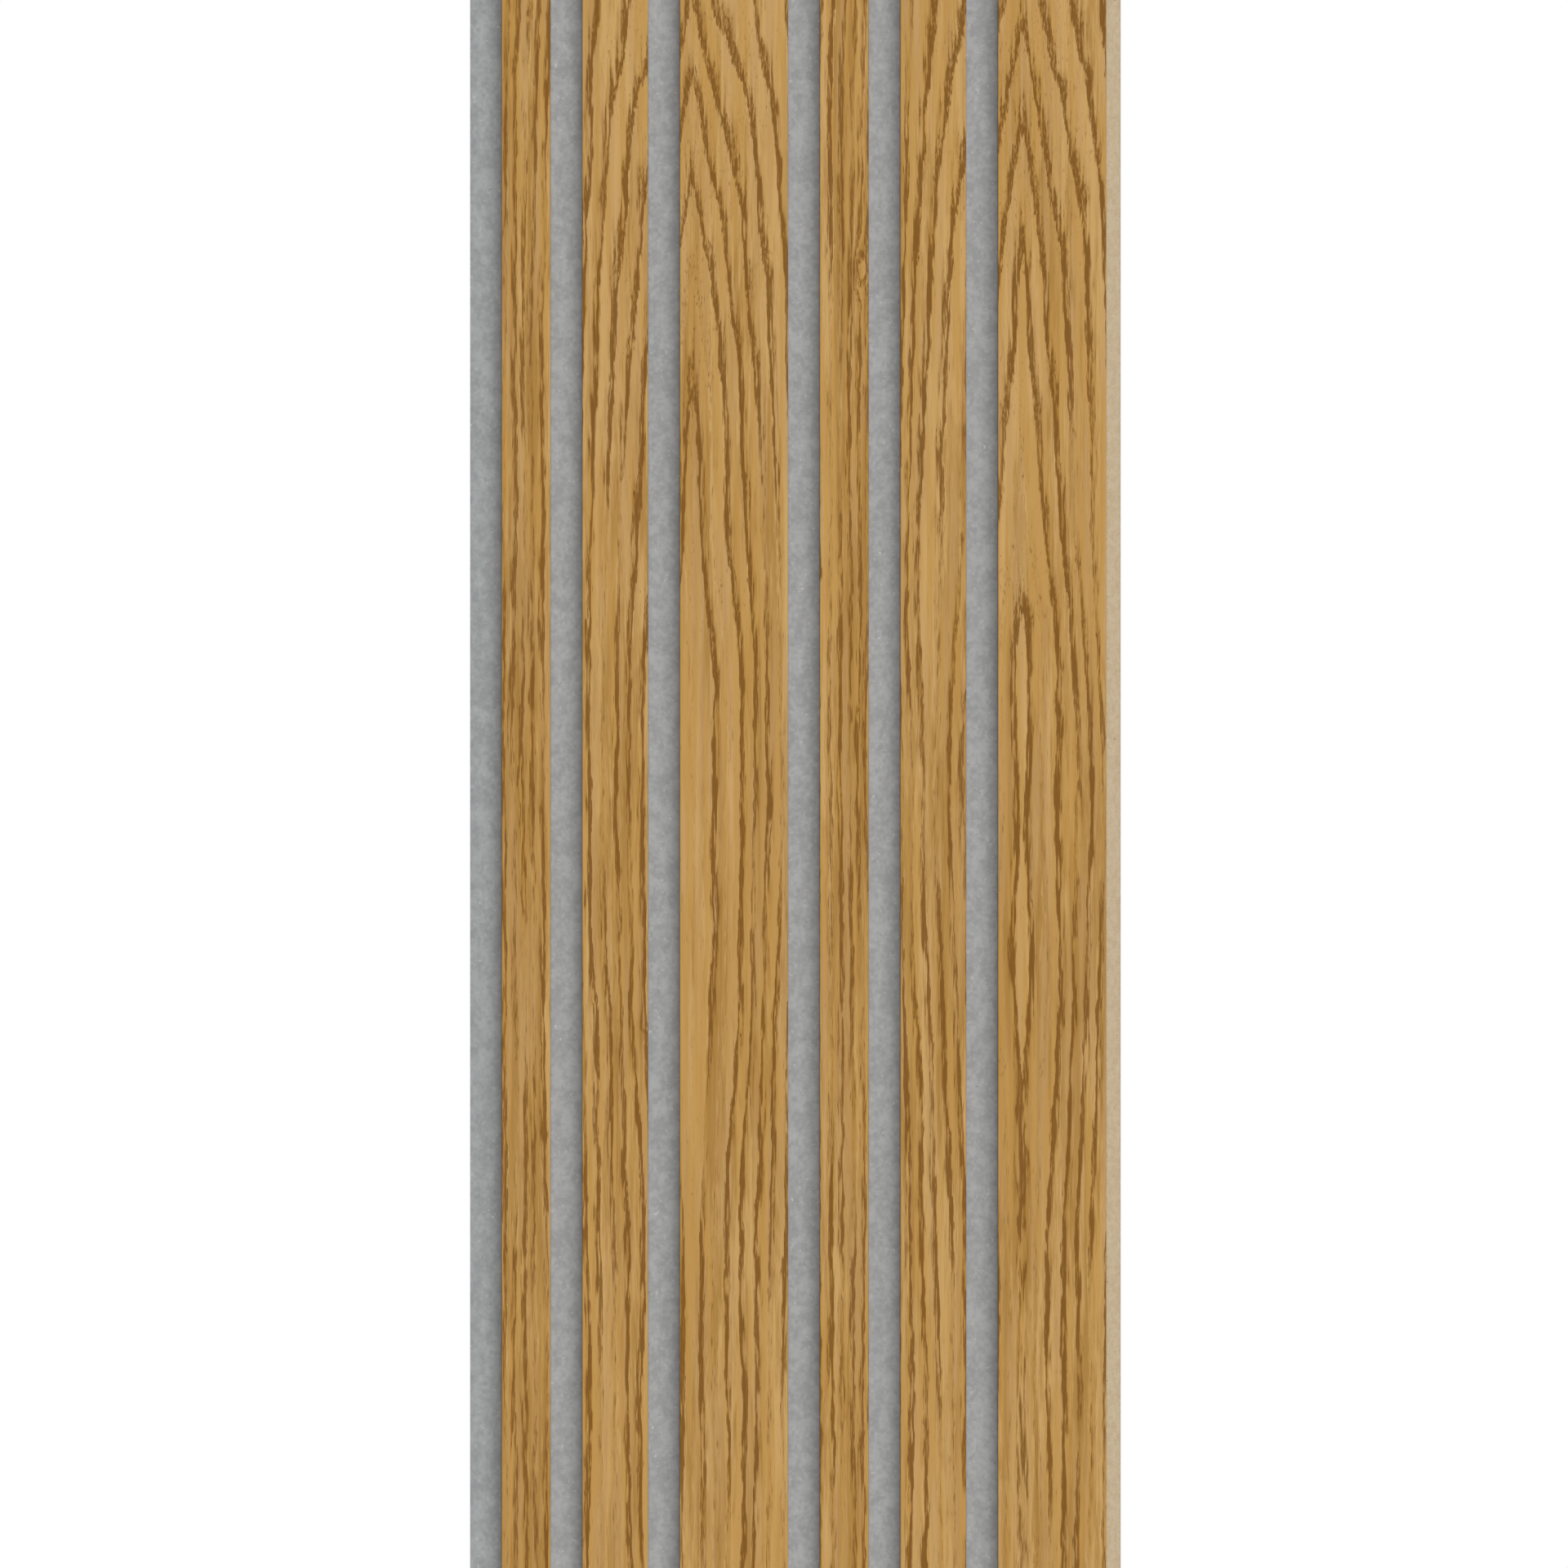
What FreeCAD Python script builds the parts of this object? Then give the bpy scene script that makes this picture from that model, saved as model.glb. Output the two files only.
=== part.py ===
"""Acoustic slat wall panel: veneered slats of three widths on a felt sheet and a tongue-and-groove board.

Frame, in millimetres: +Z runs up the panel, +X across it from the groove edge to the tongue edge,
and -Y faces the room. The origin is the centre of the back face, which goes against the wall.
"""

import os

import FreeCAD
import Part

# Panel
PANEL_LENGTH = 2600.0
MODULE_COUNT = 2

# One module, from left to right: each slat stands to the right of a strip of bare felt
FELT_GAP_WIDTH = 15.0
NARROW_SLAT_WIDTH = 23.0
MEDIUM_SLAT_WIDTH = 31.0
WIDE_SLAT_WIDTH = 51.0

# Layers, from the wall to the room
CARRIER_THICKNESS = 8.0
FELT_THICKNESS = 3.0
SLAT_CORE_THICKNESS = 10.0
VENEER_THICKNESS = 0.6

# Edges
VENEER_ARRIS_RADIUS = 0.4
TONGUE_LENGTH = 7.0
TONGUE_THICKNESS = 3.0
TONGUE_TIP_CHAMFER = 0.5
GROOVE_MOUTH_CHAMFER = 0.4
GROOVE_SIDE_CLEARANCE = 0.15
GROOVE_END_CLEARANCE = 0.5
REAR_CHEEK_SETBACK = 0.5

# Worked out from the sizes above
SLAT_KINDS = (
    ("narrow", NARROW_SLAT_WIDTH),
    ("medium", MEDIUM_SLAT_WIDTH),
    ("wide", WIDE_SLAT_WIDTH),
)
MODULE_WIDTH = sum(FELT_GAP_WIDTH + width for _, width in SLAT_KINDS)
COVER_WIDTH = MODULE_COUNT * MODULE_WIDTH
LEFT_EDGE = -COVER_WIDTH / 2
RIGHT_EDGE = COVER_WIDTH / 2
BOTTOM_END = -PANEL_LENGTH / 2
CARRIER_FRONT = -CARRIER_THICKNESS
FELT_FRONT = CARRIER_FRONT - FELT_THICKNESS
SLAT_CORE_FRONT = FELT_FRONT - SLAT_CORE_THICKNESS
VENEER_FRONT = SLAT_CORE_FRONT - VENEER_THICKNESS

POSITION_TOLERANCE = 1e-6


def run_of_panel(profile):
    """A solid whose section is the closed profile of (x, y) points, carried up the whole panel."""
    corners = [FreeCAD.Vector(x, y, BOTTOM_END) for x, y in profile]
    face = Part.Face(Part.makePolygon(corners + corners[:1]))
    return face.extrude(FreeCAD.Vector(0, 0, PANEL_LENGTH))


def strip(left, right, back, front):
    """A flat strip of the panel's length between two sides and two faces."""
    return run_of_panel([(left, back), (right, back), (right, front), (left, front)])


def long_edges(solid, places):
    """The solid's edges that run up the panel through the given (x, y) places."""
    found = []
    for edge in solid.Edges:
        middle = edge.CenterOfMass
        runs_up = edge.BoundBox.ZLength > PANEL_LENGTH - POSITION_TOLERANCE
        if runs_up and any(
            abs(middle.x - x) < POSITION_TOLERANCE and abs(middle.y - y) < POSITION_TOLERANCE
            for x, y in places
        ):
            found.append(edge)
    return found


def carrier_board():
    """The MDF board behind the felt, with a tongue on its right edge and a groove on its left.

    The groove's rear cheek stops short of the front one, so that two panels close at the front first.
    """
    tongue_back = -(CARRIER_THICKNESS - TONGUE_THICKNESS) / 2
    tongue_front = tongue_back - TONGUE_THICKNESS
    tongue_tip = RIGHT_EDGE + TONGUE_LENGTH
    groove_back = tongue_back + GROOVE_SIDE_CLEARANCE
    groove_front = tongue_front - GROOVE_SIDE_CLEARANCE
    groove_floor = LEFT_EDGE + TONGUE_LENGTH + GROOVE_END_CLEARANCE
    rear_cheek_edge = LEFT_EDGE + REAR_CHEEK_SETBACK
    board = run_of_panel(
        [
            (rear_cheek_edge, 0.0),
            (RIGHT_EDGE, 0.0),
            (RIGHT_EDGE, tongue_back),
            (tongue_tip, tongue_back),
            (tongue_tip, tongue_front),
            (RIGHT_EDGE, tongue_front),
            (RIGHT_EDGE, CARRIER_FRONT),
            (LEFT_EDGE, CARRIER_FRONT),
            (LEFT_EDGE, groove_front),
            (groove_floor, groove_front),
            (groove_floor, groove_back),
            (rear_cheek_edge, groove_back),
        ]
    )
    tip_corners = [(tongue_tip, tongue_back), (tongue_tip, tongue_front)]
    board = board.makeChamfer(TONGUE_TIP_CHAMFER, long_edges(board, tip_corners))
    mouth_corners = [(LEFT_EDGE, groove_front), (rear_cheek_edge, groove_back)]
    return board.makeChamfer(GROOVE_MOUTH_CHAMFER, long_edges(board, mouth_corners))


def felt_sheet():
    """The grey felt, glued over the whole front of the carrier board."""
    return strip(LEFT_EDGE, RIGHT_EDGE, CARRIER_FRONT, FELT_FRONT)


def slat_core(left, width):
    """A sawn MDF strip, glued to the felt."""
    return strip(left, left + width, FELT_FRONT, SLAT_CORE_FRONT)


def slat_veneer(left, width):
    """The oak veneer on a slat's face, with its two long front edges eased by sanding."""
    right = left + width
    sheet = strip(left, right, SLAT_CORE_FRONT, VENEER_FRONT)
    front_corners = [(left, VENEER_FRONT), (right, VENEER_FRONT)]
    return sheet.makeFillet(VENEER_ARRIS_RADIUS, long_edges(sheet, front_corners))


def slat_places():
    """The name, left side and width of every slat, from the groove edge to the tongue edge."""
    left = LEFT_EDGE
    for number in range(MODULE_COUNT * len(SLAT_KINDS)):
        kind, width = SLAT_KINDS[number % len(SLAT_KINDS)]
        left += FELT_GAP_WIDTH
        yield f"{number + 1}_{kind}", left, width
        left += width


def panel_pieces():
    """Every piece of the panel by its name."""
    pieces = {"carrier_board": carrier_board(), "felt_sheet": felt_sheet()}
    for name, left, width in slat_places():
        pieces[f"slat_{name}"] = slat_core(left, width)
        pieces[f"veneer_{name}"] = slat_veneer(left, width)
    return pieces


def main():
    os.makedirs("parts", exist_ok=True)
    for name, solid in panel_pieces().items():
        solid.exportStep(f"parts/{name}.step")


main()
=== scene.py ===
"""Looks of the acoustic slat wall panel: oak veneer, grey felt and bare fibreboard, on a plain studio stage.

Lengths are metres in the panel's own frame: +Z up the panel, +X across it to the tongue, -Y to the room.
"""

import math

import bpy
import numpy as np
from bpy.props import FloatProperty, FloatVectorProperty, IntProperty, PointerProperty
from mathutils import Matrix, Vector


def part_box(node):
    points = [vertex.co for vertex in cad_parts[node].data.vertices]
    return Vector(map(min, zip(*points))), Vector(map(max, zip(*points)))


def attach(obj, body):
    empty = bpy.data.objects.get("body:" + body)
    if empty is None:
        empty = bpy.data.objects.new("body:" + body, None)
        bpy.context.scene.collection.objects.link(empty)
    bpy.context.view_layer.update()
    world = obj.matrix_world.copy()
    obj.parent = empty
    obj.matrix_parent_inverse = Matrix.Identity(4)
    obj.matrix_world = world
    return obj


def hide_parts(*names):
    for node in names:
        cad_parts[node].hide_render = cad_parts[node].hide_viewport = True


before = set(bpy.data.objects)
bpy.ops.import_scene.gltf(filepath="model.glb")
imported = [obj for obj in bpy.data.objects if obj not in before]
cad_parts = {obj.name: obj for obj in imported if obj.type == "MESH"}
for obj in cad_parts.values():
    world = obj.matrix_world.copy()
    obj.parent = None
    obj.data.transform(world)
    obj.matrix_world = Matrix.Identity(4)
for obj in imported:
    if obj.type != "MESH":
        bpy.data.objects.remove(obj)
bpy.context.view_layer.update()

bl_info = {
    "name": "Acoustic Slat Wall Panel",
    "version": (1, 0, 0),
    "blender": (4, 5, 0),
    "location": "View3D > Sidebar > Slat Panel",
    "description": "Dresses the solids of a slat wall panel in oak, felt and fibreboard and sets its stage",
    "category": "Object",
}

BODY = "root"
MM = 0.001

VENEER_NODES = sorted(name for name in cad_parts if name.startswith("veneer_"))
CORE_NODES = sorted(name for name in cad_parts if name.startswith("slat_"))
FELT_LOW, FELT_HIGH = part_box("felt_sheet")
PANEL_BOTTOM = FELT_LOW.z
PANEL_TOP = FELT_HIGH.z
COVER_WIDTH = FELT_HIGH.x - FELT_LOW.x
LEAF_COUNT = 2
LEAF_WIDTH = COVER_WIDTH / LEAF_COUNT
SLATS_PER_LEAF = len(VENEER_NODES) // LEAF_COUNT

# Heights on the panel and how far the rings at the heart of a leaf have closed there, in millimetres
HEART_RISE = (
    (-400, 1.0),
    (-330, 0.0),
    (-270, 1.2),
    (-205, 0.6),
    (-130, -6.0),
    (-80, -9.0),
    (-12, -8.5),
    (58, -5.5),
    (104, 0.5),
    (176, 2.6),
    (240, 9.0),
    (274, 13.9),
    (327, 21.0),
    (362, 27.3),
    (420, 26.0),
    (520, 22.0),
    (700, 20.0),
    (1300, 20.0),
)

# What is added to that at the heart of the second leaf
NEXT_HEART_RISE = (
    (-190, 0.0),
    (-150, 1.5),
    (-80, 0.0),
    (-37, 1.8),
    (14, 2.3),
    (45, 3.6),
    (86, 1.8),
    (135, 3.6),
    (185, 4.5),
    (210, 4.0),
    (240, 1.0),
    (260, 0.0),
    (310, 0.0),
    (362, -2.3),
    (420, -2.3),
    (540, 0.0),
)

# What is added to it close beside the heart of both leaves
HEART_PINCH = (
    (-340, 0.0),
    (-190, 0.0),
    (-150, 3.3),
    (-80, 6.0),
    (-12, 6.0),
    (50, 0.0),
    (340, 0.0),
)

# How far the rings have closed all across a leaf
LEAF_RISE = (
    (-1300, -35.0),
    (-700, -8.0),
    (-420, 0.0),
    (330, 0.0),
    (390, 2.0),
    (450, 9.0),
    (600, 25.0),
    (900, 45.0),
    (1300, 70.0),
)

# Growth of the oak in each year from the heart outwards, in millimetres, and in the years before and after
YEARS = (5.6, 5.7, 7.1, 6.3, 6.4, 6.8, 6.0, 6.5, 6.6, 6.5, 5.4, 4.2, 4.7, 5.0, 5.0)
YEARS_BEFORE = (2 * YEARS[0],) * 4
YEARS_AFTER = YEARS[-6:] * 4

# The year whose ring is faint, counted with the years before
FAINT_YEAR = len(YEARS_BEFORE) + 1

# Plane waves that make rings wander and felt uneven: how many, and the ranges of their lengths
WANDER_WAVES = {"count": 18, "across_range": (14 * MM, 70 * MM), "up_range": (70 * MM, 420 * MM)}
KINK_WAVES = {"count": 24, "across_range": (12 * MM, 50 * MM), "up_range": (20 * MM, 70 * MM)}
RIPPLE_WAVES = {"count": 24, "across_range": (6 * MM, 30 * MM), "up_range": (12 * MM, 60 * MM)}

# Meshes: points on a sanded edge's quarter circle, and the bend from which an edge is shaded as sharp
ARRIS_POINTS = 5
SHARP_ANGLE = math.radians(50)

# Where in a year the open grain is deepest, as a share of the year, and how sharply it is bounded
GRAIN_PLACE = 0.12
GRAIN_POWER = 4

# The value that noises lie about
NOISE_MIDDLE = 0.5

# How the streaks' noise is laid out: each axis, the size it is divided by, and how far a seed moves it
STREAK_AXES = (("X", "Width", 7.31), ("Y", "Width", 3.17), ("Z", "Length", 11.53))

# How far a seed moves the fibres' noise, and how strongly that noise is twisted
FIBRE_SEED_STEP = 0.1
FIBRE_TWIST = 1.6

# Share of the growth's slope that runs up the panel, in straight grain and at the arches
STRAIGHT_SLANT = 0.03
ARCHED_SLANT = 0.14

# Oak, each for straight grain and for the arches: depth of the rings' fray, millimetres at which the halo
# and the core of a ring end, contrast of the vessels, and weights of the core and the halo
FRAY_DEPTH = (1.7 * MM, 2.8 * MM)
HALO_END = (3.2, 3.8)
CORE_END = (2.3, 2.8)
VESSEL_CONTRAST = (1.15, 1.4)
CORE_WEIGHT = (0.52, 0.44)
HALO_WEIGHT = (0.58, 0.64)

# Oak, depth of the rings' coarser raggedness
RAGGED_DEPTH = 2.4 * MM

# Oak, how bold a ring is: ranges of a noise and of a year's growth and what they turn into, the least at the
# arches, what the faint ring lacks, and how the number of a year chooses its noise
RING_BOLDNESS = (0.34, 0.53, 0.32, 1.0)
NARROW_YEAR_BOLDNESS = (4.8 * MM, 6.2 * MM, 0.8, 1.0)
ARCH_BOLDNESS = 0.95
FAINT_RING_LOSS = 0.7
RING_SEED_STEP = 5.0
RING_SEED_START = 6.1

# Oak, the porous band: ranges of a noise or of the millimetres grown in a year, and what they turn into
BAND_REACH = (0.36, 0.66, 0.75, 1.9)
HALO_RISE = (0.0, 1.0)
HALO_FADE_START = 1.0
CORE_RISE = (0.1, 0.7)
CORE_FADE_START = 1.1
SECOND_ROW_RISE = (2.0, 2.4)
SECOND_ROW_FADE = (2.6, 3.2, 1.0, 0.0)
SECOND_ROW_STRETCHES = (0.5, 0.62, 0.0, 0.9)
PORE_EDGE = (0.64, 0.95)
PORE_WEIGHT = 0.77

# Oak, the late wood: weights of its noises, and ranges of a noise or a year's growth and what they turn into
FIBRE_TONE = 0.3
STREAK_TONE = 0.4
CLOUD_TONE = 0.3
YEAR_TONE = 0.5
YEAR_TONE_SEED = 50.5
NARROW_YEAR_TONE = (4.8 * MM, 6.4 * MM, 0.045, -0.006)
TONE_EDGE = (0.37, 0.62)
ROSY_PATCHES = (0.45, 0.62, 0.0, 0.6)
GOLDEN_PATCHES = (0.46, 0.62, 0.0, 0.7)
OAK_ROUGHNESS = (0.0, 1.0, 0.52, 0.78)

# Felt: ranges of its noises, and weights of its patches, crumbs and fibres
WOOL_EDGE = (0.30, 0.70)
PALE_TUFTS = (0.48, 0.62)
DARK_TUFTS = (0.50, 0.36)
CLOUD_WEIGHT = 0.55
FLECK_WEIGHT = 0.45
CRUMB_WEIGHT = 0.7
DARK_FIBRE_WEIGHT = 0.6
PALE_FIBRE_WEIGHT = 0.8

# Fibreboard: shares of its half thickness where the skin sets in, ranges of its noises, and weights
SKIN_START = 0.45
SKIN_FULL = 0.95
MOTTLE_WEIGHT = 0.5
GRIT_WEIGHT = 0.5
MOTTLE_TINT = (0.36, 0.62, 0.0, 0.36)
BOARD_ROUGHNESS = (0.3, 0.7, 0.78, 0.92)
BOARD_FIBRE_WEIGHT = 0.3
SPECK_WEIGHT = 0.75

# Stage: sides of the round floor, shares of its radius with a ring of points, how far from the panel it
# turns white, and how far the camera sees
FLOOR_SIDES = 64
FLOOR_RINGS = (0.02, 0.2, 1.0)
FLOOR_WHITENS = (0.4, 3.0)
CAMERA_REACH = 200.0
WHITE = (1.0, 1.0, 1.0, 1.0)


def paint(red, green, blue):
    """A screen colour of 0 to 255 a channel as a linear colour, by the sRGB curve."""
    screen = np.array([red, green, blue]) / 255
    linear = np.where(screen <= 0.04045, screen / 12.92, ((screen + 0.055) / 1.055) ** 2.4)
    return tuple(float(channel) for channel in linear)


def length_property(name, description, default):
    """A length that the sidebar shows in the scene's unit."""
    return FloatProperty(name=name, description=description, default=default, unit="LENGTH", precision=5)


def colour_property(name, description, default):
    """A linear colour with no alpha."""
    return FloatVectorProperty(
        name=name, description=description, default=default, subtype="COLOR", size=3, min=0.0, max=1.0
    )


class OakSettings(bpy.types.PropertyGroup):
    """The veneer's leaf, its grain and its colours."""

    heart_place: length_property("Heart", "Middle of the arches, across the panel", -45.2 * MM)
    heart_radius: length_property("Heart radius", "Roundness of the arches' tips", 0.8 * MM)
    first_year: length_property("First year", "Distance of the innermost ring from the heart", 3.2 * MM)
    arch_reach: length_property("Arch reach", "How far to each side the arches at the heart reach", 32 * MM)
    pinch_reach: length_property("Pinch reach", "How far to each side the heart is pinched", 15 * MM)
    arch_easing: length_property("Arch easing", "Height over which the arches change their slope", 70 * MM)
    swell_height: length_property("Swell height", "Height where the rings bow outwards most", 70 * MM)
    swell_length: length_property("Swell length", "Half the height of that place", 190 * MM)
    swell_depth: length_property("Swell depth", "How far the rings bow outwards there", 5.5 * MM)
    swell_across: length_property("Swell across", "Distance from the heart where they bow most", 50 * MM)
    swell_fade: length_property("Swell fade", "Distance over which the bow dies away beyond", 20 * MM)
    next_leaf_across: length_property("Next leaf across", "Shift of the second leaf's heart", 5.6 * MM)
    next_leaf_rings: length_property("Next leaf rings", "How much further its rings have closed", 3.8 * MM)
    next_swell_height: length_property("Next swell height", "Height of its own swell, on the left", 150 * MM)
    next_swell_length: length_property("Next swell length", "Half the height of that swell", 260 * MM)
    next_swell_depth: length_property("Next swell depth", "How far its rings bow to the left", 4.5 * MM)
    slope_step: length_property("Slope step", "Half the distance over which slopes are taken", 0.3 * MM)
    least_steep: FloatProperty(name="Least steep", description="Least slope of the growth", default=0.15)
    wander: length_property("Wander", "How far the rings wander from their path", 0.55 * MM)
    kinks: length_property("Kinks", "How far the rings swerve over a few centimetres", 0.14 * MM)
    still_heart: length_property("Still heart", "Distance from the heart where the wander sets in", 9 * MM)
    knot_across: length_property("Knot across", "Place of the pin knot across the panel", 34 * MM)
    knot_height: length_property("Knot height", "Height of the pin knot on the panel", 243 * MM)
    knot_width: length_property("Knot width", "How far to each side the rings bend round it", 3.0 * MM)
    knot_length: length_property("Knot length", "How far up and down the rings bend round it", 10 * MM)
    knot_bend: length_property("Knot bend", "How far the rings are pushed aside there", 6 * MM)
    relief: length_property("Relief", "Depth of the open grain", 0.04 * MM)
    arris_radius: length_property("Arris", "Radius of the sanded long edges", 0.4 * MM)
    column_step: length_property("Column step", "Spacing of the mesh across a slat", 0.75 * MM)
    row_step: length_property("Row step", "Spacing of the mesh along a slat", 3.0 * MM)
    seed: IntProperty(name="Seed", description="Chooses the wander of the rings", default=3)
    pale_wood: colour_property("Pale late wood", "Lightest streaks between the rings", paint(199, 158, 96))
    deep_wood: colour_property("Deep late wood", "Darker streaks between the rings", paint(167, 124, 57))
    rosy_wood: colour_property("Rosy late wood", "Warmer patches between the rings", paint(187, 146, 90))
    golden_wood: colour_property("Golden late wood", "Yellower patches there", paint(188, 143, 70))
    early_wood: colour_property("Early wood", "Porous band at the start of a year", paint(141, 97, 27))
    pore: colour_property("Pores", "Open pores in the early wood", paint(114, 71, 12))


class FeltSettings(bpy.types.PropertyGroup):
    """The felt between the slats."""

    loft: length_property("Loft", "How far the felt swells between two slats", 0.35 * MM)
    ripple: length_property("Ripple", "Unevenness of the felt's face", 0.12 * MM)
    column_step: length_property("Column step", "Spacing of the mesh across a strip", 1.0 * MM)
    row_step: length_property("Row step", "Spacing of the mesh along a strip", 5.0 * MM)
    seed: IntProperty(name="Seed", description="Chooses the unevenness", default=11)
    pale: colour_property("Pale wool", "Lightest patches", paint(167, 168, 169))
    deep: colour_property("Deep wool", "Darkest patches", paint(150, 151, 152))
    pale_fibre: colour_property("Pale fibre", "Loose light fibres", paint(200, 200, 200))
    dark_fibre: colour_property("Dark fibre", "Loose dark fibres", paint(112, 113, 116))


class FibreboardSettings(bpy.types.PropertyGroup):
    """The bare board of the carrier and of the slats' cores."""

    face: colour_property("Face", "Sanded face", paint(180, 158, 124))
    core: colour_property("Core", "Looser middle of the board, seen on its edges", paint(186, 167, 136))
    fibre: colour_property("Pale fibre", "Light fibres in the board", paint(216, 202, 176))
    speck: colour_property("Speck", "Dark bits of bark", paint(96, 72, 46))


class StageSettings(bpy.types.PropertyGroup):
    """The floor, the lamps and the camera."""

    framed: length_property("Framed height", "Height of the panel that the picture shows", 739.3 * MM)
    aim_across: length_property("Aim", "Where the camera looks, across the panel", -1.9 * MM)
    lens: FloatProperty(name="Lens", description="Focal length in millimetres", default=800.0, min=50.0)
    floor_radius: length_property("Floor radius", "Half the width of the floor", 9.0)
    floor_colour: colour_property("Floor", "Pale floor", paint(236, 236, 236))
    key_power: FloatProperty(name="Key", description="Broad lamp from the right", default=2.2)
    front_power: FloatProperty(name="Front", description="Lamp from the camera's side", default=1.0)
    back_power: FloatProperty(name="Back", description="Lamp behind the panel", default=2.2)
    ambient: FloatProperty(name="Ambient", description="Light from all round", default=0.12)


class SlatPanelSettings(bpy.types.PropertyGroup):
    """All settings of the panel."""

    oak: PointerProperty(type=OakSettings, name="Oak", description="Veneer")
    felt: PointerProperty(type=FeltSettings, name="Felt", description="Felt sheet")
    fibreboard: PointerProperty(type=FibreboardSettings, name="Fibreboard", description="Bare board")
    stage: PointerProperty(type=StageSettings, name="Stage", description="Floor, lamps and camera")


def closed_run(name, sections):
    """A closed skin over sections, an array of rows, points and coordinates from the bottom upwards.

    The points of a row run anticlockwise seen from above. Each point is joined to the next one in its row
    and to those above, the last point to the first one, and flat faces close the first and last rows.
    """
    rows, points, _ = sections.shape
    number = np.arange(rows * points).reshape(rows, points)
    here, above = number[:-1], number[1:]
    sides = np.stack([here, np.roll(here, -1, 1), np.roll(above, -1, 1), above], axis=-1)
    ends = [number[0, ::-1].tolist(), number[-1].tolist()]
    mesh = bpy.data.meshes.new(name)
    mesh.from_pydata(sections.reshape(-1, 3), [], sides.reshape(-1, 4).tolist() + ends)
    mesh.shade_smooth()
    mesh.set_sharp_from_angle(angle=SHARP_ANGLE)
    piece = bpy.data.objects.new(name, mesh)
    bpy.context.scene.collection.objects.link(piece)
    return piece


def even_steps(start, end, step):
    """Places from start to end, about a step apart."""
    return np.linspace(start, end, max(2, round((end - start) / step) + 1))


def bell(offset):
    """A bell curve of height 1: e to the power of minus the squared offset."""
    return np.exp(-(offset**2))


def waves(across, up, seed, count, across_range, up_range):
    """A smooth wander of unit strength: the sum of seeded plane waves with lengths in the two ranges."""
    draw = np.random.default_rng(seed)
    per_metre_across = draw.choice([-1, 1], count) / draw.uniform(*across_range, count)
    per_metre_up = 1 / draw.uniform(*up_range, count)
    turn = across[..., None] * per_metre_across + up[..., None] * per_metre_up + draw.uniform(0, 1, count)
    return np.sin(2 * np.pi * turn).sum(-1) * math.sqrt(2 / count)


def eased_line(up, points, easing):
    """The line through points in millimetres, eased by a bell-shaped window and read at each height."""
    heights, offsets = np.array(points).T * MM
    fine = np.arange(PANEL_BOTTOM - easing, PANEL_TOP + easing, MM)
    window = np.hanning(round(easing / MM))
    eased = np.convolve(np.interp(fine, heights, offsets), window / window.sum(), "same")
    return np.interp(up, fine, eased)


def growth_from_heart(across, up, leaf, oak):
    """How much wood has grown between the heart of the leaf and each place.

    The distance from the heart is a hyperbola's, the root of the squared distance plus the squared radius of
    the tips. The rise of the arches, with what the second leaf adds to it, and the pinch are added to it and
    fall off to the sides as bell curves. The rise of the whole leaf is added, and away from the heart so are
    the wander and its kinks. Taken off are the bow outwards at the swell, the second leaf's own bow to the
    left, both of them bell curves up the panel, and a bell curve round the pin knot.
    """
    from_heart = across - leaf * (LEAF_WIDTH + oak.next_leaf_across) - oak.heart_place
    side = np.abs(from_heart)
    distance = np.hypot(side, oak.heart_radius) - oak.heart_radius
    next_rise = leaf * eased_line(up, NEXT_HEART_RISE, oak.arch_easing)
    rise = eased_line(up, HEART_RISE, oak.arch_easing) + next_rise
    arches = rise * bell(side / oak.arch_reach)
    pinch = eased_line(up, HEART_PINCH, oak.arch_easing) * bell(side / oak.pinch_reach)
    closed = eased_line(up, LEAF_RISE, oak.arch_easing) + leaf * oak.next_leaf_rings
    beyond = np.maximum(side - oak.swell_across, 0)
    bow = np.minimum(side / oak.swell_across, 1) * np.exp(-beyond / oak.swell_fade)
    swell = oak.swell_depth * bell((up - oak.swell_height) / oak.swell_length)
    next_swell = oak.next_swell_depth * bell((up - oak.next_swell_height) / oak.next_swell_length)
    on_next_left = leaf * (from_heart < 0)
    knot_side = (across - oak.knot_across) / oak.knot_width
    knot_up = (up - oak.knot_height) / oak.knot_length
    knot = oak.knot_bend * bell(np.hypot(knot_side, knot_up))
    wander = oak.wander * waves(side, up, oak.seed + leaf, **WANDER_WAVES)
    kinks = oak.kinks * waves(side, up, oak.seed + LEAF_COUNT + leaf, **KINK_WAVES)
    wandering = (1 - bell(side / oak.still_heart)) * (wander + kinks)
    return distance + arches + pinch + closed - bow * (swell + on_next_left * next_swell) - knot + wandering


def growth_rings(across, up, leaf, oak):
    """Four fields of the grain: the count of rings, the growth of the year, the steepness and the slant.

    The growth is counted in years of unequal widths. Its slopes across and up are taken between points a
    slope step to both sides. The steepness is the root of the length of the vector of the two slopes, and
    the slant is the share of that length that runs up the panel.
    """

    def grown_at(aside, above):
        return growth_from_heart(across + aside, up + above, leaf, oak)

    step = oak.slope_step
    grown = grown_at(0, 0)
    rise_across = grown_at(step, 0) - grown_at(-step, 0)
    rise_up = grown_at(0, step) - grown_at(0, -step)
    rise = np.hypot(rise_across, rise_up)
    steep = np.sqrt(np.maximum(rise / (2 * step), oak.least_steep))
    slant = np.abs(rise_up) / rise
    widths = np.array(YEARS_BEFORE + YEARS + YEARS_AFTER) * MM
    starts = oak.first_year + np.concatenate([[0], np.cumsum(widths)]) - sum(YEARS_BEFORE) * MM
    rings = np.interp(grown, starts, np.arange(len(starts)))
    year = np.interp(grown, (starts[:-1] + starts[1:]) / 2, widths)
    return {"rings": rings, "year": year, "steep": steep, "slant": slant}


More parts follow.
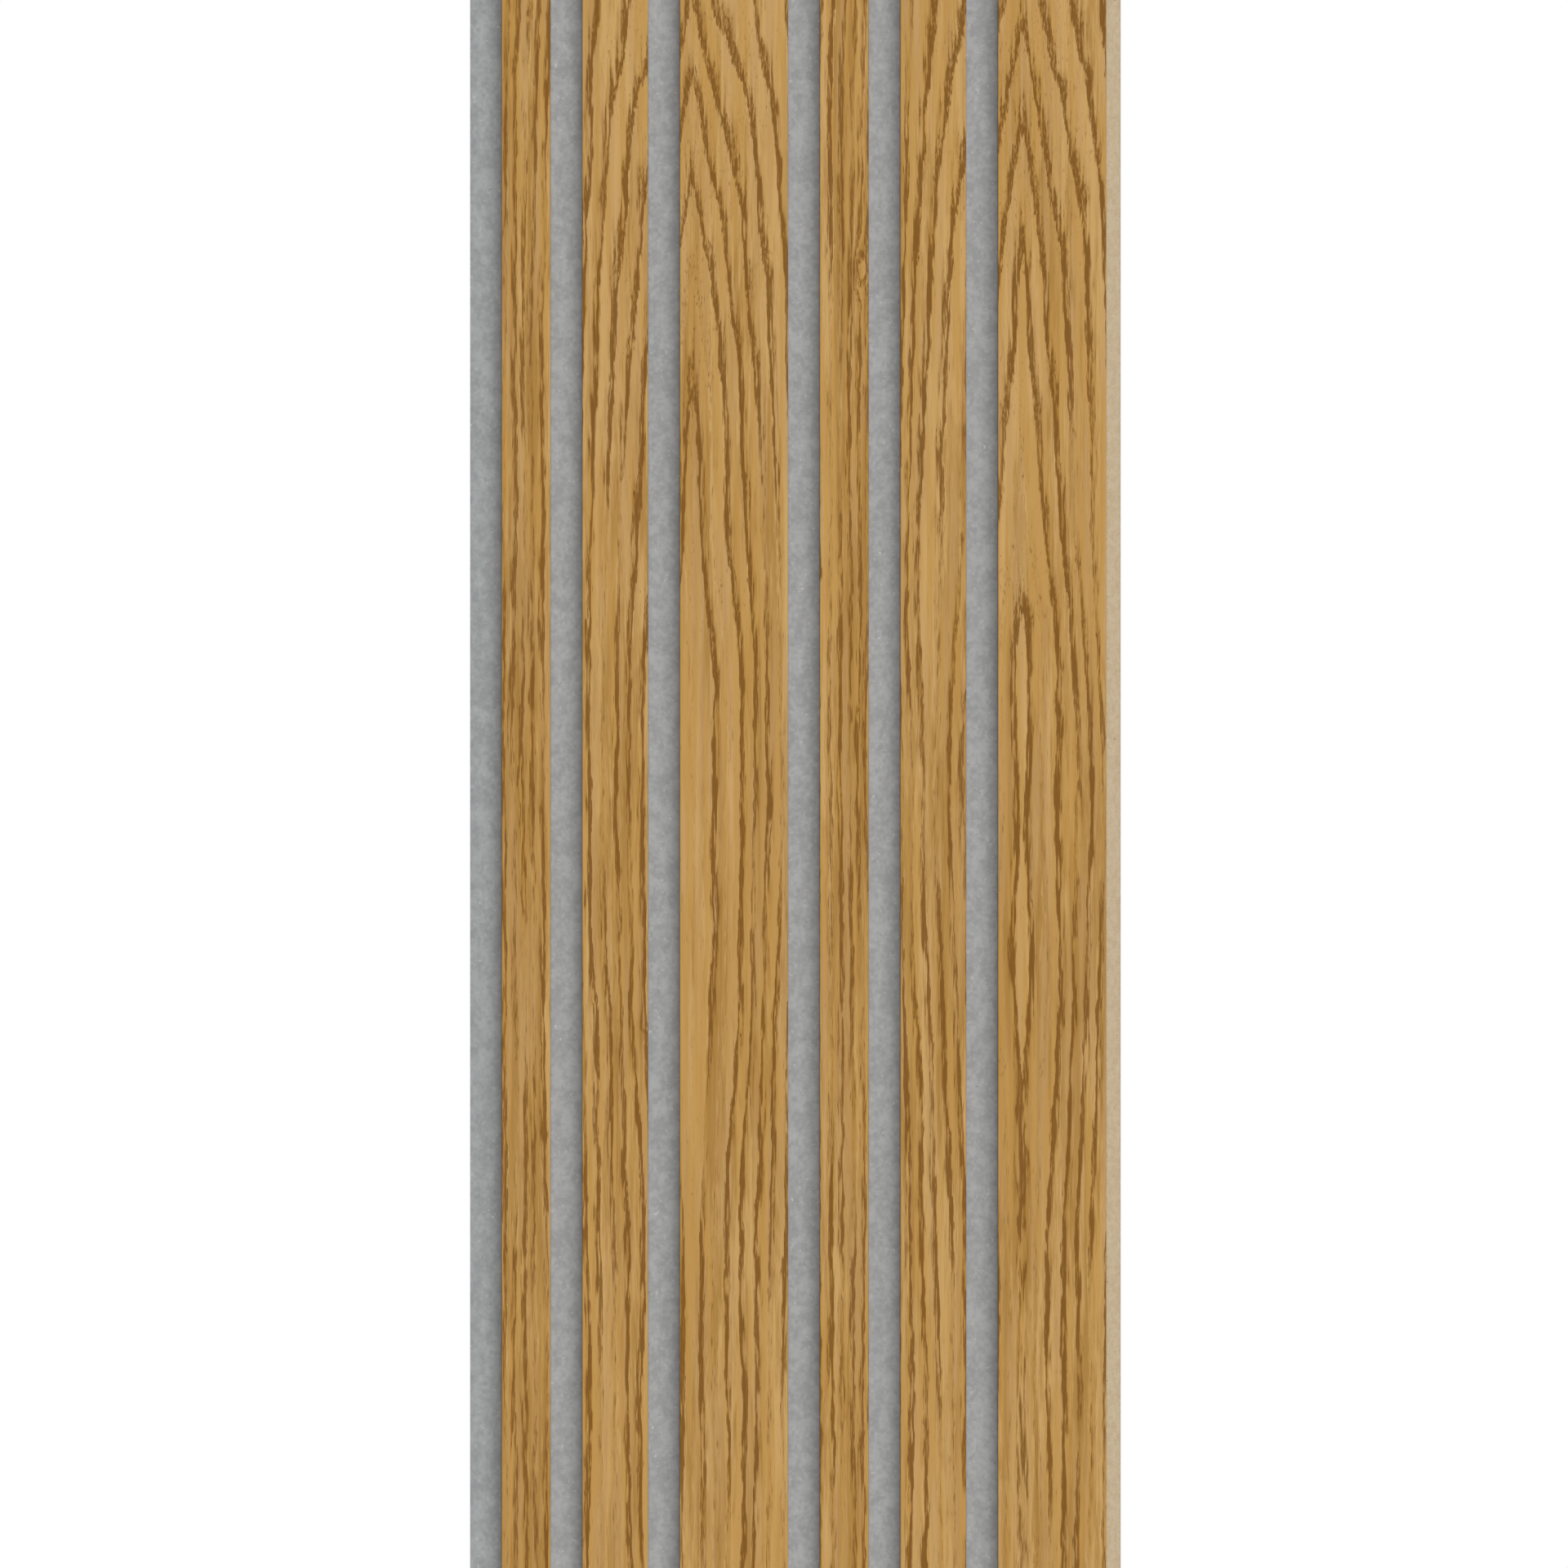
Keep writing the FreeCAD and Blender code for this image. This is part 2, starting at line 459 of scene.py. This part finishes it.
def veneer_sections(low, high, leaf, oak):
    """The veneer's sections, and the four fields of the grain at their points.

    Across, a section is a strip with quarter circles on its two front corners. Its front sinks by the relief
    where a ring begins, by a power of the raised cosine of the ring's turn, and rises to the late wood.
    """
    radius = oak.arris_radius
    quarter = np.linspace(0, np.pi / 2, ARRIS_POINTS)
    face = even_steps(low.x + radius, high.x - radius, oak.column_step)
    left = low.x + radius - radius * np.cos(quarter)
    right = high.x - radius + radius * np.sin(quarter)
    across = np.concatenate([[low.x], left[:-1], face, right[1:], [high.x]])
    rounding = radius - radius * np.sin(quarter)
    depth = np.concatenate([rounding[:-1], np.zeros(len(face)), rounding[::-1][1:]])
    forward = np.concatenate([[high.y], low.y + depth, [high.y]])
    up = even_steps(low.z, high.z, oak.row_step)
    across, up = np.broadcast_arrays(across, up[:, None])
    grain = growth_rings(across, up, leaf, oak)
    open_grain = (0.5 + 0.5 * np.cos(2 * np.pi * (grain["rings"] - GRAIN_PLACE))) ** GRAIN_POWER
    on_face = (across > low.x + radius) & (across < high.x - radius)
    forward = forward + oak.relief * open_grain * on_face
    return np.stack([across, forward, up], axis=-1), grain


def felt_sections(felt):
    """Sections of the felt: flat under the slats, uneven between them and swollen by the root of a sine."""
    slats = [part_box(name) for name in CORE_NODES]
    lefts = [FELT_LOW.x] + [high.x for _, high in slats]
    rights = [low.x for low, _ in slats] + [FELT_HIGH.x]
    strips = [(left, right) for left, right in zip(lefts, rights) if right > left]
    columns = [even_steps(left, right, felt.column_step)[:-1] for left, right in strips]
    across = np.concatenate(columns + [[FELT_HIGH.x]])
    bare = np.zeros(len(across))
    for left, right in strips:
        inside = (across > left) & (across < right)
        bare[inside] = np.sqrt(np.sin(np.pi * (across[inside] - left) / (right - left)))
    up = even_steps(PANEL_BOTTOM, PANEL_TOP, felt.row_step)
    across, up = np.broadcast_arrays(across, up[:, None])
    ripple = waves(across, up, felt.seed, **RIPPLE_WAVES)
    front = FELT_LOW.y - bare * (felt.loft + felt.ripple * ripple)
    ends = across[:, [-1, 0]]
    across = np.concatenate([across, ends], axis=1)
    forward = np.concatenate([front, np.full(ends.shape, FELT_HIGH.y)], axis=1)
    return np.stack([across, forward, np.broadcast_to(up[:, :1], across.shape)], axis=-1)


def feed(tree, node, inputs):
    """Join a node's inputs to sockets or set them to values."""
    for name, source in inputs.items():
        if isinstance(source, bpy.types.NodeSocket):
            tree.links.new(source, node.inputs[name])
        else:
            node.inputs[name].default_value = source


def place(tree, kind, inputs, **settings):
    """A new node with its settings and its inputs."""
    node = tree.nodes.new(kind)
    for name, setting in settings.items():
        setattr(node, name, setting)
    feed(tree, node, inputs)
    return node


def maths(tree, operation, *sources):
    """The result of a Math node."""
    return place(tree, "ShaderNodeMath", dict(enumerate(sources)), operation=operation).outputs[0]


def between(tree, share, first, second):
    """One number turning into another by a share."""
    return maths(tree, "MULTIPLY_ADD", share, maths(tree, "SUBTRACT", second, first), first)


def swing(tree, noise, depth):
    """A noise moved so that it swings about nothing, by a depth."""
    return maths(tree, "MULTIPLY", maths(tree, "SUBTRACT", noise, NOISE_MIDDLE), depth)


def spread(tree, value, low, high, to_low=0.0, to_high=1.0):
    """The value taken from one range to another, eased and held at both ends."""
    inputs = {"Value": value, "From Min": low, "From Max": high, "To Min": to_low, "To Max": to_high}
    node = place(tree, "ShaderNodeMapRange", inputs, interpolation_type="SMOOTHSTEP")
    return node.outputs["Result"]


def by_slant(tree, slant, straight, arched):
    """A value for straight grain that turns into the one for the arches."""
    return spread(tree, slant, STRAIGHT_SLANT, ARCHED_SLANT, straight, arched)


def blend(tree, share, first, second):
    """One colour turning into another by a share."""
    node = place(tree, "ShaderNodeMix", {}, data_type="RGBA")
    inputs = {"Factor_Float": share}
    for name, colour in (("A_Color", first), ("B_Color", second)):
        inputs[name] = colour if isinstance(colour, bpy.types.NodeSocket) else (*colour, 1.0)
    numbers = {socket.identifier: number for number, socket in enumerate(node.inputs)}
    feed(tree, node, {numbers[name]: source for name, source in inputs.items()})
    return next(socket for socket in node.outputs if socket.identifier == "Result_Color")


def shader_group(name, inputs, output):
    """A new shader node group with number inputs and one number output."""
    tree = bpy.data.node_groups.new(name, "ShaderNodeTree")
    for label, default in inputs.items():
        socket = tree.interface.new_socket(label, in_out="INPUT", socket_type="NodeSocketFloat")
        socket.default_value = default
    tree.interface.new_socket(output, in_out="OUTPUT", socket_type="NodeSocketFloat")
    return tree, tree.nodes.new("NodeGroupInput"), tree.nodes.new("NodeGroupOutput")


def streaks_group():
    """Streaks up the panel: noise on the place divided by a width across the panel and a length along it.

    The seed moves the place by its own step along each axis, so that two seeds give unlike streaks.
    """
    inputs = {"Width": MM, "Length": MM, "Seed": 0.0, "Detail": 2.0}
    tree, given, result = shader_group("Streaks", inputs, "Streak")
    where = place(tree, "ShaderNodeTexCoord", {}).outputs["Object"]
    parts = place(tree, "ShaderNodeSeparateXYZ", {"Vector": where}).outputs
    shifted = {}
    for axis, size, step in STREAK_AXES:
        scaled = maths(tree, "DIVIDE", parts[axis], given.outputs[size])
        shifted[axis] = maths(tree, "MULTIPLY_ADD", given.outputs["Seed"], step, scaled)
    vector = place(tree, "ShaderNodeCombineXYZ", shifted).outputs["Vector"]
    inputs = {"Vector": vector, "Scale": 1.0, "Detail": given.outputs["Detail"]}
    noise = place(tree, "ShaderNodeTexNoise", inputs)
    feed(tree, result, {"Streak": noise.outputs["Fac"]})
    return tree


def fibres_group():
    """Curled fibres: thin lines where a twisted noise, moved by the seed, passes its middle value."""
    inputs = {"Size": MM, "Line": 0.02, "Seed": 0.0}
    tree, given, result = shader_group("Curled fibres", inputs, "Fibre")
    where = place(tree, "ShaderNodeTexCoord", {}).outputs["Object"]
    apart = maths(tree, "MULTIPLY", given.outputs["Seed"], FIBRE_SEED_STEP)
    shifted = place(tree, "ShaderNodeVectorMath", {0: where, 1: apart}, operation="ADD").outputs["Vector"]
    fineness = maths(tree, "DIVIDE", 1.0, given.outputs["Size"])
    inputs = {"Vector": shifted, "Scale": fineness, "Detail": 1.0, "Distortion": FIBRE_TWIST}
    noise = place(tree, "ShaderNodeTexNoise", inputs)
    off_middle = maths(tree, "ABSOLUTE", maths(tree, "SUBTRACT", noise.outputs["Fac"], NOISE_MIDDLE))
    feed(tree, result, {"Fibre": spread(tree, off_middle, 0.0, given.outputs["Line"], 1.0, 0.0)})
    return tree


def specks_group():
    """Scattered specks: the middles of those cells of a Voronoi pattern that a random number picks."""
    inputs = {"Size": MM, "Share": 0.1, "Radius": 0.3}
    tree, given, result = shader_group("Specks", inputs, "Speck")
    where = place(tree, "ShaderNodeTexCoord", {}).outputs["Object"]
    fineness = maths(tree, "DIVIDE", 1.0, given.outputs["Size"])
    cells = place(tree, "ShaderNodeTexVoronoi", {"Vector": where, "Scale": fineness})
    chance = place(tree, "ShaderNodeSeparateColor", {"Color": cells.outputs["Color"]}).outputs["Red"]
    picked = maths(tree, "LESS_THAN", chance, given.outputs["Share"])
    near = spread(tree, cells.outputs["Distance"], 0.0, given.outputs["Radius"], 1.0, 0.0)
    feed(tree, result, {"Speck": maths(tree, "MULTIPLY", picked, near)})
    return tree


def group(tree, name, **inputs):
    """The output of a shared shader group, which is made at its first use."""
    makers = {"Streaks": streaks_group, "Curled fibres": fibres_group, "Specks": specks_group}
    made = bpy.data.node_groups.get(name) or makers[name]()
    labelled = {label.capitalize(): source for label, source in inputs.items()}
    return place(tree, "ShaderNodeGroup", labelled, node_tree=made).outputs[0]


def streaks(tree, width, length, seed, detail=2.0):
    """Streaks of a width and a length in millimetres."""
    return group(tree, "Streaks", width=width * MM, length=length * MM, seed=seed, detail=detail)


def new_material(name):
    """A material with an empty Principled shader, and its node tree."""
    material = bpy.data.materials.new(name)
    material.use_nodes = True
    tree = material.node_tree
    return material, tree, tree.nodes["Principled BSDF"]


def frayed_rings(tree, grain):
    """Millimetres grown since a year began, and the year's number, with rings that fray along the grain."""
    plane_year = maths(tree, "DIVIDE", grain["year"], grain["steep"])
    ragged = swing(tree, streaks(tree, width=1.5, length=11, seed=1.0), RAGGED_DEPTH)
    short_fray = streaks(tree, width=0.5, length=4, seed=2.0)
    long_fray = streaks(tree, width=0.5, length=9, seed=8.0)
    frayed = between(tree, by_slant(tree, grain["slant"], 0.0, 1.0), long_fray, short_fray)
    frayed = swing(tree, frayed, by_slant(tree, grain["slant"], *FRAY_DEPTH))
    moved = maths(tree, "DIVIDE", maths(tree, "ADD", ragged, frayed), plane_year)
    counted = maths(tree, "ADD", grain["rings"], moved)
    grown = maths(tree, "MULTIPLY", maths(tree, "FRACT", counted), plane_year)
    return maths(tree, "DIVIDE", grown, MM), maths(tree, "FLOOR", counted)


def ring_boldness(tree, grain, number):
    """How bold a ring is: uneven along the grain, bold at the arches, and less bold in narrow years."""
    seed = maths(tree, "MULTIPLY_ADD", number, RING_SEED_STEP, RING_SEED_START)
    of_year = streaks(tree, width=1000, length=150, seed=seed, detail=1.0)
    at_arches = by_slant(tree, grain["slant"], 0.0, ARCH_BOLDNESS)
    bold = maths(tree, "MAXIMUM", spread(tree, of_year, *RING_BOLDNESS), at_arches)
    half_a_year = 0.5
    is_faint = maths(tree, "COMPARE", number, float(FAINT_YEAR), half_a_year)
    bold = maths(tree, "MULTIPLY", bold, maths(tree, "MULTIPLY_ADD", is_faint, -FAINT_RING_LOSS, 1.0))
    return maths(tree, "MULTIPLY", bold, spread(tree, grain["year"], *NARROW_YEAR_BOLDNESS))


def porous_band(tree, slant, grown, bold):
    """The dark halo of a ring, and its core of large pores, which in places has a second row."""
    blotch = streaks(tree, width=1.6, length=26, seed=3.0, detail=1.0)
    away = maths(tree, "DIVIDE", grown, spread(tree, blotch, *BAND_REACH))
    halo_fade = spread(tree, away, HALO_FADE_START, by_slant(tree, slant, *HALO_END), 1.0, 0.0)
    halo = maths(tree, "MULTIPLY", spread(tree, grown, *HALO_RISE), halo_fade)
    core_fade = spread(tree, away, CORE_FADE_START, by_slant(tree, slant, *CORE_END), 1.0, 0.0)
    core = maths(tree, "MULTIPLY", spread(tree, grown, *CORE_RISE), core_fade)
    second_fade = spread(tree, grown, *SECOND_ROW_FADE)
    second_row = maths(tree, "MULTIPLY", spread(tree, grown, *SECOND_ROW_RISE), second_fade)
    again = streaks(tree, width=2.5, length=45, seed=12.0, detail=1.0)
    second_row = maths(tree, "MULTIPLY", second_row, spread(tree, again, *SECOND_ROW_STRETCHES))
    core = maths(tree, "MAXIMUM", core, second_row)
    return maths(tree, "MULTIPLY", halo, bold), maths(tree, "MULTIPLY", core, bold)


def pore_lines(tree, slant, core):
    """Open pores where the core meets a fine noise along the grain, and the long lines of that noise."""
    short_lines = streaks(tree, width=0.6, length=3, seed=4.0)
    long_lines = streaks(tree, width=0.5, length=7, seed=10.0)
    lines = between(tree, by_slant(tree, slant, 0.0, 1.0), long_lines, short_lines)
    vessels = swing(tree, lines, by_slant(tree, slant, *VESSEL_CONTRAST))
    vessels = maths(tree, "ADD", vessels, NOISE_MIDDLE)
    over = maths(tree, "MULTIPLY_ADD", core, by_slant(tree, slant, *CORE_WEIGHT), vessels)
    return spread(tree, over, *PORE_EDGE), long_lines


def late_wood(tree, oak, year, number):
    """The wood between the rings: fibres, streaks, clouds and years from pale to deep, and warm patches."""
    fibre = streaks(tree, width=0.6, length=10, seed=5.0)
    streak = streaks(tree, width=1.8, length=40, seed=9.0, detail=1.0)
    cloud = streaks(tree, width=6, length=90, seed=6.0, detail=1.0)
    tone = maths(tree, "MULTIPLY_ADD", fibre, FIBRE_TONE, maths(tree, "MULTIPLY", cloud, CLOUD_TONE))
    tone = maths(tree, "MULTIPLY_ADD", streak, STREAK_TONE, tone)
    seed = maths(tree, "ADD", number, YEAR_TONE_SEED)
    of_year = streaks(tree, width=1000, length=300, seed=seed, detail=0.0)
    tone = maths(tree, "ADD", tone, swing(tree, of_year, YEAR_TONE))
    tone = maths(tree, "ADD", tone, spread(tree, year, *NARROW_YEAR_TONE))
    wood = blend(tree, spread(tree, tone, *TONE_EDGE), oak.pale_wood, oak.deep_wood)
    rosy = streaks(tree, width=4, length=120, seed=7.0, detail=1.0)
    wood = blend(tree, spread(tree, rosy, *ROSY_PATCHES), wood, oak.rosy_wood)
    golden = streaks(tree, width=3, length=100, seed=11.0, detail=1.0)
    return blend(tree, spread(tree, golden, *GOLDEN_PATCHES), wood, oak.golden_wood)


def oak_material(oak):
    """Matt oiled oak: porous dark bands where the rings begin, and fine pale streaks between them."""
    material, tree, shader = new_material("oak veneer")
    grain = {}
    for name in ("rings", "year", "steep", "slant"):
        grain[name] = place(tree, "ShaderNodeAttribute", {}, attribute_name=name).outputs["Fac"]
    slant = grain["slant"]
    grown, number = frayed_rings(tree, grain)
    halo, core = porous_band(tree, slant, grown, ring_boldness(tree, grain, number))
    pores, long_lines = pore_lines(tree, slant, core)
    halo_share = maths(tree, "MULTIPLY", halo, by_slant(tree, slant, *HALO_WEIGHT))
    banded = blend(tree, halo_share, late_wood(tree, oak, grain["year"], number), oak.early_wood)
    height = maths(tree, "SUBTRACT", 1.0, long_lines)
    bump = place(tree, "ShaderNodeBump", {"Strength": 0.5, "Distance": 0.05 * MM, "Height": height})
    finish = {
        "Base Color": blend(tree, maths(tree, "MULTIPLY", pores, PORE_WEIGHT), banded, oak.pore),
        "Roughness": spread(tree, halo, *OAK_ROUGHNESS),
        "Normal": bump.outputs["Normal"],
        "Specular IOR Level": 0.22,
    }
    feed(tree, shader, finish)
    return material


def felt_material(felt):
    """Needled felt: cloudy patches of two greys under loose pale and dark fibres, with a soft sheen."""
    material, tree, shader = new_material("grey felt")
    cloud = streaks(tree, width=6, length=8, seed=21.0, detail=1.0)
    fleck = streaks(tree, width=1.8, length=2.1, seed=22.0, detail=0.6)
    flecked = maths(tree, "MULTIPLY", fleck, FLECK_WEIGHT)
    wool = maths(tree, "MULTIPLY_ADD", cloud, CLOUD_WEIGHT, flecked)
    colour = blend(tree, spread(tree, wool, *WOOL_EDGE), felt.deep, felt.pale)
    tuft = streaks(tree, width=2.2, length=2.2, seed=25.0)
    pale = group(tree, "Curled fibres", size=3.2 * MM, line=0.018, seed=23.0)
    pale = maths(tree, "MULTIPLY", pale, spread(tree, tuft, *PALE_TUFTS))
    dark = group(tree, "Curled fibres", size=2.4 * MM, line=0.014, seed=24.0)
    dark = maths(tree, "MULTIPLY", dark, spread(tree, tuft, *DARK_TUFTS))
    crumbs = group(tree, "Specks", size=6 * MM, share=0.25, radius=0.08)
    colour = blend(tree, maths(tree, "MULTIPLY", crumbs, CRUMB_WEIGHT), colour, felt.dark_fibre)
    colour = blend(tree, maths(tree, "MULTIPLY", dark, DARK_FIBRE_WEIGHT), colour, felt.dark_fibre)
    colour = blend(tree, maths(tree, "MULTIPLY", pale, PALE_FIBRE_WEIGHT), colour, felt.pale_fibre)
    bump = place(tree, "ShaderNodeBump", {"Strength": 0.25, "Distance": 0.35 * MM, "Height": wool})
    finish = {
        "Base Color": colour,
        "Roughness": 0.95,
        "Normal": bump.outputs["Normal"],
        "Specular IOR Level": 0.08,
        "Sheen Weight": 0.12,
        "Sheen Roughness": 0.5,
    }
    feed(tree, shader, finish)
    return material


def fibreboard_material(name, middle, half_thickness, board):
    """Bare fibreboard: fine mottling, pale fibres and dark specks, and paler in the middle of its edge."""
    material, tree, shader = new_material(name)
    where = place(tree, "ShaderNodeTexCoord", {}).outputs["Object"]
    depth = place(tree, "ShaderNodeSeparateXYZ", {"Vector": where}).outputs["Y"]
    off_middle = maths(tree, "ABSOLUTE", maths(tree, "SUBTRACT", depth, middle))
    skin = spread(tree, off_middle, SKIN_START * half_thickness, SKIN_FULL * half_thickness)
    mottle = streaks(tree, width=2.2, length=3.0, seed=31.0)
    grit = streaks(tree, width=0.5, length=0.7, seed=32.0)
    fibres = group(tree, "Curled fibres", size=3.2 * MM, line=0.010, seed=33.0)
    specks = group(tree, "Specks", size=3.5 * MM, share=0.08, radius=0.16)
    uneven = maths(tree, "MULTIPLY_ADD", mottle, MOTTLE_WEIGHT, maths(tree, "MULTIPLY", grit, GRIT_WEIGHT))
    colour = blend(tree, skin, board.core, board.face)
    colour = blend(tree, spread(tree, uneven, *MOTTLE_TINT), colour, board.fibre)
    colour = blend(tree, maths(tree, "MULTIPLY", fibres, BOARD_FIBRE_WEIGHT), colour, board.fibre)
    colour = blend(tree, maths(tree, "MULTIPLY", specks, SPECK_WEIGHT), colour, board.speck)
    bump = place(tree, "ShaderNodeBump", {"Strength": 0.4, "Distance": 0.05 * MM, "Height": grit})
    finish = {
        "Base Color": colour,
        "Roughness": spread(tree, grit, *BOARD_ROUGHNESS),
        "Normal": bump.outputs["Normal"],
        "Specular IOR Level": 0.15,
    }
    feed(tree, shader, finish)
    return material


class SLATPANEL_OT_fibreboard(bpy.types.Operator):
    """Give the carrier board and the slats' cores their bare fibreboard finish"""

    bl_idname = "slat_panel.fibreboard"
    bl_label = "Finish Fibreboard"

    def execute(self, context):
        board = context.scene.slat_panel.fibreboard
        for name, nodes in (("carrier board", ["carrier_board"]), ("slat cores", CORE_NODES)):
            low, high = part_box(nodes[0])
            finish = fibreboard_material(name, (low.y + high.y) / 2, (high.y - low.y) / 2, board)
            for node in nodes:
                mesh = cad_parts[node].data
                mesh.materials.clear()
                mesh.materials.append(finish)
        return {"FINISHED"}


class SLATPANEL_OT_felt(bpy.types.Operator):
    """Lay the felt sheet over the carrier board"""

    bl_idname = "slat_panel.felt"
    bl_label = "Lay Felt"

    def execute(self, context):
        felt = context.scene.slat_panel.felt
        piece = closed_run("grey_felt", felt_sections(felt))
        piece.data.materials.append(felt_material(felt))
        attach(piece, BODY)
        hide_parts("felt_sheet")
        return {"FINISHED"}


class SLATPANEL_OT_veneers(bpy.types.Operator):
    """Face every slat with oak veneer from two leaves that follow each other"""

    bl_idname = "slat_panel.veneers"
    bl_label = "Face Slats"

    def execute(self, context):
        oak = context.scene.slat_panel.oak
        finish = oak_material(oak)
        for number, node in enumerate(VENEER_NODES):
            low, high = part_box(node)
            sections, grain = veneer_sections(low, high, number // SLATS_PER_LEAF, oak)
            piece = closed_run(f"oak_{node}", sections)
            for label, field in grain.items():
                attribute = piece.data.attributes.new(label, "FLOAT", "POINT")
                attribute.data.foreach_set("value", field.astype(np.float32).ravel())
            piece.data.materials.append(finish)
            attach(piece, BODY)
            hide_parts(node)
        return {"FINISHED"}


def add_sun(name, power, spread_angle, azimuth, elevation):
    """A lamp at a great distance: azimuth 0 shines from the room and 90 from the right, in degrees."""
    lamp = bpy.data.lights.new(name, "SUN")
    lamp.energy = power
    lamp.angle = math.radians(spread_angle)
    sun = bpy.data.objects.new(name, lamp)
    sun.rotation_euler = (math.radians(90 - elevation), 0, math.radians(azimuth))
    bpy.context.scene.collection.objects.link(sun)


def add_world(stage):
    """White behind the panel for the camera, gloss and glass, and a plain soft light for all else."""
    world = bpy.data.worlds.new("studio")
    world.use_nodes = True
    tree = world.node_tree
    path = place(tree, "ShaderNodeLightPath", {}).outputs
    seen = maths(tree, "MAXIMUM", path["Is Camera Ray"], path["Is Glossy Ray"])
    seen = maths(tree, "MAXIMUM", seen, path["Is Transmission Ray"])
    level = spread(tree, seen, 0.0, 1.0, stage.ambient, 1.0)
    feed(tree, tree.nodes["Background"], {"Color": WHITE, "Strength": level})
    bpy.context.scene.world = world


def add_floor(stage):
    """A round floor under the panel: a fan of rings whose material turns white away from the panel."""
    turns = np.linspace(0, 2 * np.pi, FLOOR_SIDES, endpoint=False)
    reach = np.array(FLOOR_RINGS)[:, None] * stage.floor_radius
    x = reach * np.cos(turns)
    y = reach * np.sin(turns)
    points = np.stack([x, y, np.full(x.shape, PANEL_BOTTOM)], axis=-1).reshape(-1, 3)
    number = np.arange(len(points)).reshape(x.shape)
    inner, outer = number[:-1], number[1:]
    faces = np.stack([inner, outer, np.roll(outer, -1, 1), np.roll(inner, -1, 1)], axis=-1).reshape(-1, 4)
    mesh = bpy.data.meshes.new("floor")
    mesh.from_pydata(points, [], faces.tolist() + [number[0].tolist()])
    floor = bpy.data.objects.new("floor", mesh)
    bpy.context.scene.collection.objects.link(floor)
    material, tree, shader = new_material("floor")
    feed(tree, shader, {"Base Color": (*stage.floor_colour, 1.0), "Roughness": 0.9})
    where = place(tree, "ShaderNodeTexCoord", {}).outputs["Object"]
    parts = place(tree, "ShaderNodeSeparateXYZ", {"Vector": where}).outputs
    squares = [maths(tree, "POWER", parts[axis], 2.0) for axis in ("X", "Y")]
    away = maths(tree, "SQRT", maths(tree, "ADD", *squares))
    path = place(tree, "ShaderNodeLightPath", {}).outputs
    white = maths(tree, "MULTIPLY", spread(tree, away, *FLOOR_WHITENS), path["Is Camera Ray"])
    glow = place(tree, "ShaderNodeEmission", {"Color": WHITE, "Strength": 1.0})
    mixed = place(tree, "ShaderNodeMixShader", {0: white, 1: shader.outputs[0], 2: glow.outputs[0]})
    feed(tree, tree.nodes["Material Output"], {"Surface": mixed.outputs[0]})
    mesh.materials.append(material)
    floor.visible_diffuse = False


def add_camera(stage):
    """A long lens straight in front of the panel, so far off that the framed height fills the picture."""
    lens = bpy.data.cameras.new("camera")
    lens.lens = stage.lens
    lens.clip_end = CAMERA_REACH
    camera = bpy.data.objects.new("camera", lens)
    slat_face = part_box(VENEER_NODES[0])[0].y
    away = stage.framed * stage.lens / lens.sensor_width
    camera.location = (stage.aim_across, slat_face - away, (PANEL_BOTTOM + PANEL_TOP) / 2)
    camera.rotation_euler = (math.radians(90), 0, 0)
    bpy.context.scene.collection.objects.link(camera)
    bpy.context.scene.camera = camera


class SLATPANEL_OT_stage(bpy.types.Operator):
    """Set up the floor, the lamps, the white background and the camera"""

    bl_idname = "slat_panel.stage"
    bl_label = "Set Stage"

    def execute(self, context):
        stage = context.scene.slat_panel.stage
        add_world(stage)
        add_floor(stage)
        add_sun("key", stage.key_power, spread_angle=44, azimuth=20, elevation=30)
        add_sun("front", stage.front_power, spread_angle=8, azimuth=0, elevation=30)
        add_sun("back", stage.back_power, spread_angle=60, azimuth=195, elevation=40)
        add_camera(stage)
        context.scene.view_settings.view_transform = "Standard"
        return {"FINISHED"}


OPERATORS = (SLATPANEL_OT_fibreboard, SLATPANEL_OT_felt, SLATPANEL_OT_veneers, SLATPANEL_OT_stage)


class SLATPANEL_PT_sidebar(bpy.types.Panel):
    """Lists the panel's settings and the steps that make it"""

    bl_label = "Slat Panel"
    bl_idname = "SLATPANEL_PT_sidebar"
    bl_space_type = "VIEW_3D"
    bl_region_type = "UI"
    bl_category = "Slat Panel"

    def draw(self, context):
        settings = context.scene.slat_panel
        for operator in OPERATORS:
            self.layout.operator(operator.bl_idname)
        for part in ("oak", "felt", "fibreboard", "stage"):
            box = self.layout.box()
            box.label(text=part.capitalize())
            chosen = getattr(settings, part)
            for name in chosen.__annotations__:
                box.prop(chosen, name)


CLASSES = (
    OakSettings,
    FeltSettings,
    FibreboardSettings,
    StageSettings,
    SlatPanelSettings,
    *OPERATORS,
    SLATPANEL_PT_sidebar,
)


def register():
    for kind in CLASSES:
        bpy.utils.register_class(kind)
    bpy.types.Scene.slat_panel = PointerProperty(type=SlatPanelSettings)


def unregister():
    del bpy.types.Scene.slat_panel
    for kind in reversed(CLASSES):
        bpy.utils.unregister_class(kind)


def main():
    register()
    bpy.ops.slat_panel.fibreboard()
    bpy.ops.slat_panel.felt()
    bpy.ops.slat_panel.veneers()
    bpy.ops.slat_panel.stage()


if __name__ == "__main__":
    main()
